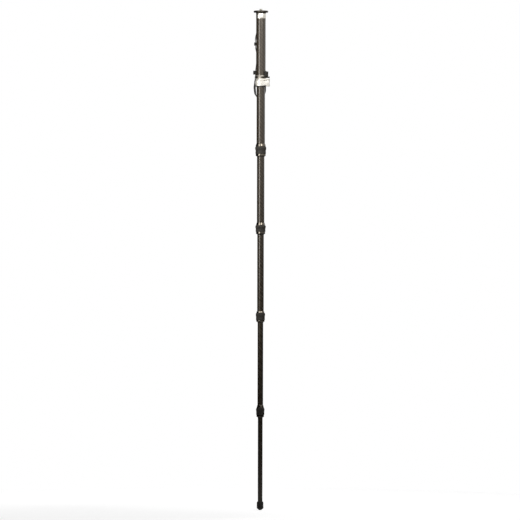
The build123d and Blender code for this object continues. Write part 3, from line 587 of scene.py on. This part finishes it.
# %% The strap's route
# Corners in millimetres, X and Z as seen from the front. The run behind the pole is guessed.
STRAP_POINTS = MM * np.array([
    (-16.9, -202.0), (-16.0, -181.0), (-13.35, -159.9), (-13.4, -127.8), (-16.9, -112.4), (-17.1, -88.0),
    (-14.1, -69.9), (-7.6, -57.0), (3.96, -57.0), (11.4, -80.1), (12.0, -180.4), (12.0, -202.0),
    (14.4, -222.8), (14.5, -248.7), (6.96, -273.0), (-7.9, -273.0), (-17.2, -257.8), (-19.3, -239.6),
    (-18.6, -221.3)])
STRAP_BENDS = MM * np.array([30, 30, 60, 40, 30, 40, 30, 6.5, 6.5, 30, 60, 40, 40, 25, 9, 9, 20, 40, 40])
WEBBING_WIDTH = 12.0 * MM
WEBBING_THICKNESS = 2.2 * MM
STRAP_ROWS, ARC_POINTS = 620, 17


def unit(vectors):
    """Each vector divided by its own length."""
    return vectors / np.linalg.norm(vectors, axis=-1, keepdims=True)


def rounded_route(corners, bends):
    """Every corner gives way to an arc that touches both its sides.

    The arc's centre lies on the corner's bisector. Its points turn evenly from one touch to the
    other.
    """
    back, on = unit(np.roll(corners, 1, 0) - corners), unit(np.roll(corners, -1, 0) - corners)
    half = np.arccos(np.clip((back * on).sum(-1), -1, 1))[:, None] / 2
    bends = bends[:, None]
    centre = corners + unit(back + on) * bends / np.sin(half)
    first = corners + back * bends / np.tan(half) - centre
    last = corners + on * bends / np.tan(half) - centre
    sweep = np.pi - 2 * half[:, :, None]
    t = np.linspace(0, 1, ARC_POINTS)[None, :, None]
    arcs = (np.sin((1 - t) * sweep) * first[:, None] + np.sin(t * sweep) * last[:, None]) / np.sin(sweep)
    return (centre[:, None] + arcs).reshape(-1, 2)


def evenly(route, count):
    """The closed route measured along its length, then read again at even steps."""
    closed = np.vstack([route, route[:1]])
    distance = np.concatenate([[0], np.cumsum(np.linalg.norm(np.diff(closed, axis=0), axis=1))])
    steps = np.linspace(0, distance[-1], count + 1)[:-1]
    return np.stack([np.interp(steps, distance, closed[:, axis]) for axis in (0, 1)], 1), distance[-1]


route, strap_length = evenly(rounded_route(STRAP_POINTS, STRAP_BENDS), STRAP_ROWS)
print("strap loop in mm", round(strap_length / MM))

# %% The strap's twist and section
# Pairs of a height in millimetres and the webbing's turn there in degrees, for each side.
LEFT_TWIST = np.array([
    (-275, 3), (-264, 12), (-252, 27), (-236, 29), (-222, 13), (-208, 2), (-203, 0), (-180, 0),
    (-128, 3), (-120, 7), (-112, 0), (-92, 0), (-86, 8), (-76, 8), (-64, 0), (-50, 0)])
RIGHT_TWIST = np.array([
    (-275, 3), (-262, 8), (-230, 8), (-212, 4), (-203, 0), (-180, 0), (-120, 5), (-80, 0),
    (-50, 0)])
SECTION_COLUMNS, SECTION_POWER = 20, 4.0


def strap_section(width, thickness):
    """A flat oblong with rounded corners: |across|^4 + |through|^4 = 1, stretched to its two sizes."""
    a = full_turn(SECTION_COLUMNS)
    through = np.sign(np.cos(a)) * np.abs(np.cos(a)) ** (2 / SECTION_POWER) * thickness / 2
    across = np.sign(np.sin(a)) * np.abs(np.sin(a)) ** (2 / SECTION_POWER) * width / 2
    return through, across


def strap_surface(route, twist, through, across, middle_y):
    """Place = route + normal · through + width direction · across, both turned by the twist."""
    along = unit(np.roll(route, -1, 0) - np.roll(route, 1, 0))
    along = np.stack([along[:, 0], np.zeros(len(along)), along[:, 1]], 1)
    side = np.array([0.0, 1.0, 0.0])
    normal = np.cross(side, along)
    turn = np.radians(twist)[:, None]
    wide = np.cos(turn) * side + np.sin(turn) * normal
    thin = np.cos(turn) * normal - np.sin(turn) * side
    middle = np.stack([route[:, 0], np.full(len(route), middle_y), route[:, 1]], 1)
    thick, broad = thin[:, None] * through[None, :, None], wide[:, None] * across[None, :, None]
    return middle[:, None] + thick + broad


webbing_low, webbing_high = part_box("strap_webbing")
height_mm = route[:, 1] / MM
twist = np.where(route[:, 0] < 0, eased(height_mm, *LEFT_TWIST.T), eased(height_mm, *RIGHT_TWIST.T))
through, across = strap_section(WEBBING_WIDTH, WEBBING_THICKNESS)
points = strap_surface(route, twist, through, across, (webbing_low[1] + webbing_high[1]) / 2)
faces = grid_faces(*points.shape[:2], close_rows=True, close_columns=True)
# The clip's nylon stands in until the weave is made, because the weave needs the strap's UV map.
strap = new_object("webbing_loop", points, faces, clip_nylon)


def unwrap(piece, rows, columns, along, around):
    """A UV map in metres: U runs along the rows and V round the columns, and each has one value more."""
    r, c = [a.ravel() for a in np.meshgrid(np.arange(rows), np.arange(columns), indexing="ij")]
    corners = [(along[i], around[j]) for i, j in ((r, c), (r, c + 1), (r + 1, c + 1), (r + 1, c))]
    uv = np.stack([np.stack(pair, -1) for pair in corners], 1)
    layer = piece.data.uv_layers.new(name="unwrapped")
    layer.data.foreach_set("uv", uv.astype(np.float32).ravel())


rim = np.stack([through, across], 1)
around = np.concatenate([[0], np.cumsum(np.linalg.norm(np.roll(rim, -1, 0) - rim, axis=1))])
unwrap(strap, len(route), len(through), np.linspace(0, strap_length, len(route) + 1), around)
dress(strap, "strap", "webbing", "strap_webbing")

# %% Nylon webbing
RIB = 1.6 * MM
WEBBING_YARN = 0.9 * MM
WEBBING_RELIEF = 0.15 * MM
VALLEY_PAINTED_SHADE, YARN_CROWN = "#15130F", "#2B2823"


def webbing_weave():
    """Ribs run along the band and picks cross them: height = √(wave of the ribs · wave of the picks)."""
    material, tree, shader = new_material("woven nylon webbing", IOR=1.53, Sheen_Weight=0.35,
                                          Sheen_Roughness=0.4)
    place = add(tree, "ShaderNodeUVMap", uv_map="unwrapped")
    u, v, _ = add(tree, "ShaderNodeSeparateXYZ", [place]).outputs
    rib = add(tree, "ShaderNodeMath", [v, RIB], operation="DIVIDE")
    row = add(tree, "ShaderNodeMath", [rib], operation="FLOOR")
    odd = add(tree, "ShaderNodeMath", [row, 2.0], operation="FLOORED_MODULO")
    step = add(tree, "ShaderNodeMath", [odd, 0.5], operation="MULTIPLY")
    yarn = add(tree, "ShaderNodeMath", [u, WEBBING_YARN], operation="DIVIDE")
    pick = add(tree, "ShaderNodeMath", [yarn, step], operation="ADD")
    waves = [round_wave(tree, way) for way in (rib, pick)]
    crossed = add(tree, "ShaderNodeMath", waves, operation="MULTIPLY")
    height = add(tree, "ShaderNodeMath", [crossed], operation="SQRT")
    # The low places between the yarns are painted darker, a painted shade in the weave's recesses.
    colour = add(tree, "ShaderNodeMix", {"Factor": height, "A": linear(VALLEY_PAINTED_SHADE),
                                         "B": linear(YARN_CROWN)}, data_type="RGBA")
    fill(tree, shader, {
        "Base Color": colour.outputs["Result"],
        "Roughness": add(tree, "ShaderNodeMapRange", {"Value": height, "From Min": 0, "From Max": 1,
                                                      "To Min": 0.75, "To Max": 0.5}),
        "Normal": add(tree, "ShaderNodeBump", {"Height": height, "Distance": WEBBING_RELIEF,
                                               "Strength": 1.0}),
    })
    return material


strap.data.materials[0] = webbing_weave()

# %% [markdown]
# ## Camera screw
# The screw can be turned over: the end that shows takes larger cameras, and the end below takes
# smaller ones. A thread is a radius that falls from the crest to the root and back once in each
# pitch, where the pitch climbs with the angle. The collar has two slots for a coin.

# %% Threaded camera screw
STUD_RADIUS, STUD_PITCH = 4.76 * MM, 1.588 * MM
SMALL_RADIUS, SMALL_PITCH = 3.175 * MM, 1.27 * MM
COLLAR_RADIUS, COLLAR_HEIGHT = 8.0 * MM, 5.0 * MM
SLOT_HALF, SLOT_DEPTH, SLOT_START = 0.8 * MM, 1.2 * MM, 5.06 * MM
SLOT_COLUMN, SLOT_FLARE, SLOT_WALL = 3, 1.02, 0.01 * MM
SCREW_LEAD, SCREW_NECK, COLLAR_ROUND = 0.4 * MM, 0.2 * MM, 0.3 * MM
STUD_ROOT, STUD_TIP = 0.4 * MM, 1.1 * MM
SMALL_ROOT, SMALL_TIP = 0.3 * MM, 0.8 * MM
SCREW_COLUMNS = 96
# Of a thread: its points in each pitch, its depth and its run-out as shares of the pitch, and how
# steep its flanks are.
THREAD_STEPS, THREAD_DEPTH, THREAD_RUNOUT, THREAD_FLANK = 12, 0.55, 0.3, 1.25


def threaded(low, high, radius, pitch, turn):
    """Radius = crest − depth · |wave|, where the wave's phase is height / pitch − angle / full turn."""
    height = np.linspace(low, high, int(THREAD_STEPS * (high - low) / pitch))
    phase = (height[:, None] / pitch - turn[None, :] / (2 * np.pi)) % 1
    depth = THREAD_DEPTH * pitch * np.minimum(1, np.abs(2 * phase - 1) * THREAD_FLANK)
    ends = np.clip(np.minimum(height - low, high - height) / (0.5 * pitch), 0, 1)[:, None]
    run = radius - THREAD_RUNOUT * pitch - (depth - THREAD_RUNOUT * pitch) * ends
    return run, np.repeat(height[:, None], len(turn), 1)


def level(radius, height):
    """One ring of equal radius and height."""
    return np.full((1, SCREW_COLUMNS), radius), np.full((1, SCREW_COLUMNS), height)


def on_all_sides(angles):
    """The same angles on both sides of both slots, between zero and a full turn."""
    return np.concatenate([[0], angles, np.pi - angles[::-1], [np.pi], np.pi + angles,
                           2 * np.pi - angles[::-1], [2 * np.pi]])


def collar_turns(radius, base):
    """Angles whose slot columns lie along the slots' straight sides: sin(angle) = half width / radius."""
    edge = np.arcsin(min(1.0, SLOT_HALF / radius))
    marks = on_all_sides(base[SLOT_COLUMN:SLOT_COLUMN + 2])
    return np.interp(base, marks, on_all_sides(edge * np.array([1.0, SLOT_FLARE])))


base = full_turn(SCREW_COLUMNS)
screw_low, screw_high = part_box("camera_screw")
half_turn = SCREW_COLUMNS // 2
index = np.arange(SCREW_COLUMNS) % half_turn
in_slot = (index <= SLOT_COLUMN) | (index >= half_turn - SLOT_COLUMN)
drop = np.where(in_slot, SLOT_DEPTH, 0)[None, :]
rings = [
    level(0, screw_low[2]),
    level(SMALL_RADIUS - SMALL_TIP, screw_low[2]),
    threaded(screw_low[2] + SCREW_LEAD, -COLLAR_HEIGHT - SCREW_NECK, SMALL_RADIUS, SMALL_PITCH, base),
    level(SMALL_RADIUS - SMALL_ROOT, -COLLAR_HEIGHT),
    level(COLLAR_RADIUS - COLLAR_ROUND, -COLLAR_HEIGHT),
    level(COLLAR_RADIUS, -COLLAR_HEIGHT + COLLAR_ROUND),
    level(COLLAR_RADIUS, -SLOT_DEPTH),
    (level(COLLAR_RADIUS, 0)[0], -drop),
    (level(SLOT_START, 0)[0], -drop),
    level(SLOT_START - SLOT_WALL, 0),
    level(STUD_RADIUS - STUD_ROOT, 0),
    threaded(SCREW_NECK, screw_high[2] - SCREW_LEAD, STUD_RADIUS, STUD_PITCH, base),
    level(STUD_RADIUS - STUD_TIP, screw_high[2]),
    level(0, screw_high[2]),
]
radius = np.vstack([ring[0] for ring in rings])
height = np.vstack([ring[1] for ring in rings])
turn = np.array([collar_turns(r, base) if r >= SLOT_START else base for r in radius.max(1)])
points = np.stack([radius * np.cos(turn), radius * np.sin(turn), height], -1)
faces = grid_faces(*points.shape[:2], close_columns=True)
screw = new_object("threaded_camera_screw", points, faces, bright_steel)

# %% Close the ends of turned shapes
MERGE = 0.001 * MM


def mend(piece):
    """Merges points that share a place, as at a pole, and turns all faces outwards."""
    work = bmesh.new()
    work.from_mesh(piece.data)
    bmesh.ops.remove_doubles(work, verts=work.verts, dist=MERGE)
    bmesh.ops.recalc_face_normals(work, faces=work.faces)
    work.to_mesh(piece.data)
    work.free()


mend(screw)
keep_edges(screw, 45.0)
dress(screw, "top_section", "bright_steel", "camera_screw")

# %% [markdown]
# ## Anti-slip pad
# The rubber disc on the plate grips a camera's base. It has fine rings moulded in it, 1.5 mm
# apart. The disc is a profile turned round the axis, with a cosine for its rings and a flat
# border.

# %% Ringed pad
PAD_RING = 1.5 * MM
PAD_RELIEF = 0.4 * MM
PAD_BORDER = 0.6 * MM
PAD_ROUND = 0.2 * MM
PAD_ROWS, PAD_FADE_ROWS, PAD_COLUMNS = 97, 8, 128


def revolved(profile, columns):
    """A closed profile of (radius, height) pairs carried round the pole's axis."""
    turn = full_turn(columns)
    radius, height = profile[:, :1], profile[:, 1:]
    return np.stack([radius * np.cos(turn), radius * np.sin(turn), height + 0 * turn], -1)


pad_low, pad_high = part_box("plate_pad")
pad_radius, pad_bore = pad_high[0], COLLAR_RADIUS + 2 * BOND
across_pad = np.linspace(pad_bore + PAD_BORDER, pad_radius - PAD_BORDER, PAD_ROWS)
rings_in_pad = 0.5 - 0.5 * np.cos(2 * np.pi * (across_pad - across_pad[0]) / PAD_RING)
border = eased(across_pad, across_pad[[0, PAD_FADE_ROWS, -PAD_FADE_ROWS - 1, -1]], [0, 1, 1, 0])
top = np.stack([across_pad, pad_high[2] - PAD_RELIEF * rings_in_pad * border], 1)
profile = np.vstack([
    [(pad_bore, pad_low[2]), (pad_radius, pad_low[2]), (pad_radius, pad_high[2] - PAD_ROUND)],
    [(pad_radius - PAD_ROUND, pad_high[2])], top[::-1],
    [(pad_bore + PAD_ROUND, pad_high[2]), (pad_bore, pad_high[2] - PAD_ROUND)]])
points = revolved(profile, PAD_COLUMNS)
faces = grid_faces(*points.shape[:2], close_rows=True, close_columns=True)
pad = new_object("ringed_pad", points, faces, pad_rubber)
mend(pad)
keep_edges(pad, 50.0)
dress(pad, "top_section", "pad_rubber", "plate_pad")

# %% [markdown]
# ## Rounded edges
# No machined or moulded edge is perfectly sharp, and the thin bright line on it tells the eye
# that it is real. A copy of each larger machined, cast or moulded solid is merged to one skin,
# its flat faces are joined, and a Bevel modifier rounds the edges that turn by more than 35
# degrees. The lever is a casting and gets the widest rounding.

# %% Copies with rounded edges
FLAT = math.radians(0.5)
SOLID_MERGE = 0.002 * MM
ROUNDED_ANGLE = math.radians(35)
ROUNDED_SEGMENTS = 3


def softened(name, node, width, body, slot, material, ringed=False):
    """A merged copy of a CAD node, whose sharp edges are rounded over a given width in metres.

    Flat faces are joined to polygons. In a ringed piece such a polygon would go round its own
    hole, so there the triangles are only paired to quads.
    """
    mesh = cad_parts[node].data.copy()
    mesh.name = name
    work = bmesh.new()
    work.from_mesh(mesh)
    bmesh.ops.remove_doubles(work, verts=work.verts, dist=SOLID_MERGE)
    if ringed:
        bmesh.ops.join_triangles(work, faces=work.faces, angle_face_threshold=FLAT,
                                 angle_shape_threshold=math.pi)
    else:
        bmesh.ops.dissolve_limit(work, angle_limit=FLAT, verts=work.verts, edges=work.edges)
    bmesh.ops.recalc_face_normals(work, faces=work.faces)
    work.to_mesh(mesh)
    work.free()
    mesh.materials.clear()
    mesh.materials.append(material)
    mesh.polygons.foreach_set("use_smooth", np.ones(len(mesh.polygons), bool))
    piece = bpy.data.objects.new(name, mesh)
    bpy.context.scene.collection.objects.link(piece)
    rounding = piece.modifiers.new("rounded edges", "BEVEL")
    rounding.limit_method = "ANGLE"
    rounding.angle_limit = ROUNDED_ANGLE
    rounding.width = width
    rounding.segments = ROUNDED_SEGMENTS
    rounding.harden_normals = True
    dress(piece, body, slot, node)


SOFTENED = [
    ("cast_lever", "lock_lever", 0.7 * MM, "lever", "silver_metal", cast_silver),
    ("lock_body", "lock_collar", 0.4 * MM, "top_section", "silver_metal", collar_metal),
    ("clip_moulding", "strap_clip", 0.35 * MM, "strap", "clip_plastic", clip_nylon),
    ("slider_moulding", "strap_slider", 0.4 * MM, "slider", "clip_plastic", clip_nylon),
    ("swivel_ring", "strap_ring", 0.35 * MM, "strap", "black_anodised", black_anodised),
    ("turned_plate", "camera_plate", 0.25 * MM, "top_section", "black_anodised", black_anodised),
    ("turned_cap", "top_cap", 0.2 * MM, "top_section", "silver_metal", satin_silver),
    ("moulded_foot", "rubber_foot", 0.5 * MM, "foot", "foot_rubber", foot_rubber),
]
for name, node, width, body, slot, material in SOFTENED:
    softened(name, node, width, body, slot, material)
for number in range(2, 6):
    for name, node, body in (
            (f"turned_ferrule_{number}", f"ferrule_{number}", f"section_{number}"),
            (f"turned_ring_{number}", f"twist_ring_{number}", f"twist_lock_{number}")):
        softened(name, node, 0.25 * MM, body, "lock_grey", gunmetal, ringed=True)

# %% [markdown]
# ## Badge, clip screw and rivet
# The lever carries an oval metal badge with a raised rim. Its face is left bare. The clip is
# closed by a black socket screw, and a domed rivet joins it to its ring. The badge is a fan of
# ovals, each one smaller than the last, bent on to the lever's round front. The screw and the
# rivet are profiles turned round their own axes, and in the screw's head the last rings are
# six-sided.

# %% Oval badge with a rim
BADGE_RIM = 0.9 * MM
BADGE_STEP = 0.28 * MM
BADGE_EDGE = 0.12 * MM
BADGE_DEPTH = 1.3 * MM
BADGE_COLUMNS = 96


def badge_surface(middle, half, skin, back):
    """x and z lie on shrinking ovals. y = −√(R² − x²) left of the lever's middle, and −R right of it."""
    rim = 1 - BADGE_RIM / half[1]
    shares = [0, 1, 1, 1 - BADGE_EDGE / half[1], rim + 0.02, rim, 0.6 * rim, 0.3 * rim, 0]
    radii = [back, back, skin - BADGE_EDGE, skin, skin, *[skin - BADGE_STEP] * 4]
    turn = full_turn(BADGE_COLUMNS)
    share, radius = np.array(shares)[:, None], np.array(radii)[:, None]
    x = middle[0] + half[0] * share * np.cos(turn)
    z = middle[1] + half[1] * share * np.sin(turn)
    return np.stack([x, -np.sqrt(radius ** 2 - np.minimum(x, 0) ** 2), z], -1)


badge_low, badge_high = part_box("lever_badge")
badge_middle = [(badge_low[axis] + badge_high[axis]) / 2 for axis in (0, 2)]
badge_half = [(badge_high[axis] - badge_low[axis]) / 2 for axis in (0, 2)]
points = badge_surface(badge_middle, badge_half, -badge_low[1], -badge_low[1] - BADGE_DEPTH)
faces = grid_faces(*points.shape[:2], close_columns=True)
badge = new_object("oval_badge", points, faces, plain_badge)
mend(badge)
keep_edges(badge, 40.0)
dress(badge, "lever", "badge_metal", "lever_badge")

# %% Socket screw and rivet
SOCKET_HALF = 1.25 * MM
SOCKET_DEPTH = 1.0 * MM
SCREW_HEAD, RIVET_HEAD = 1.6 * MM, 0.8 * MM
HEAD_ROUND, HEAD_BREAK = 0.3 * MM, 0.1 * MM
SHANK_SHARE = 0.57
HEAD_COLUMNS = 72


def hexagon(turn, half):
    """Distance to a hexagon's side: half its width / cos(angle from the side's middle)."""
    return half / np.cos((turn + np.pi / 6) % (np.pi / 3) - np.pi / 6)


def turned_facing_front(low, high, rows):
    """Rings round an axis along Y through the box's middle.

    Each row is a radius, or a function that gives it from the angle, and a depth from the front.
    """
    turn = full_turn(HEAD_COLUMNS)
    radius = np.array([size(turn) if callable(size) else np.full(HEAD_COLUMNS, size)
                       for size, _ in rows])
    depth = np.array([depth for _, depth in rows])[:, None]
    x, z = (low[0] + high[0]) / 2, (low[2] + high[2]) / 2
    return np.stack([x + radius * np.cos(turn), low[1] + depth + 0 * radius,
                     z + radius * np.sin(turn)], -1)


def front_fastener(name, node, head_height, head_rows, body, slot, material):
    """A shank as long as the node's own, with a head whose rows are given."""
    low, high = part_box(node)
    head = (high[0] - low[0]) / 2
    length = high[1] - low[1]
    rows = [(0, length), (SHANK_SHARE * head, length), (SHANK_SHARE * head, head_height),
            (head, head_height), *head_rows(head)]
    points = turned_facing_front(low, high, rows)
    faces = grid_faces(*points.shape[:2], close_columns=True)
    piece = new_object(name, points, faces, material)
    mend(piece)
    keep_edges(piece, 40.0)
    dress(piece, body, slot, node)


front_fastener("clip_socket_screw", "clip_screw", SCREW_HEAD, lambda head: [
    (head, HEAD_ROUND), (head - HEAD_BREAK, HEAD_BREAK), (head - HEAD_ROUND, 0),
    (lambda turn: hexagon(turn, SOCKET_HALF + HEAD_BREAK), 0),
    (lambda turn: hexagon(turn, SOCKET_HALF), HEAD_BREAK),
    (lambda turn: hexagon(turn, SOCKET_HALF), SOCKET_DEPTH), (0, SOCKET_DEPTH)],
    "strap", "black_anodised", black_anodised)
front_fastener("domed_rivet", "strap_rivet", RIVET_HEAD, lambda head: [
    (head * math.sin(a), RIVET_HEAD * (1 - math.cos(a))) for a in np.linspace(np.pi / 2, 0, 9)],
    "strap", "lock_grey", gunmetal)
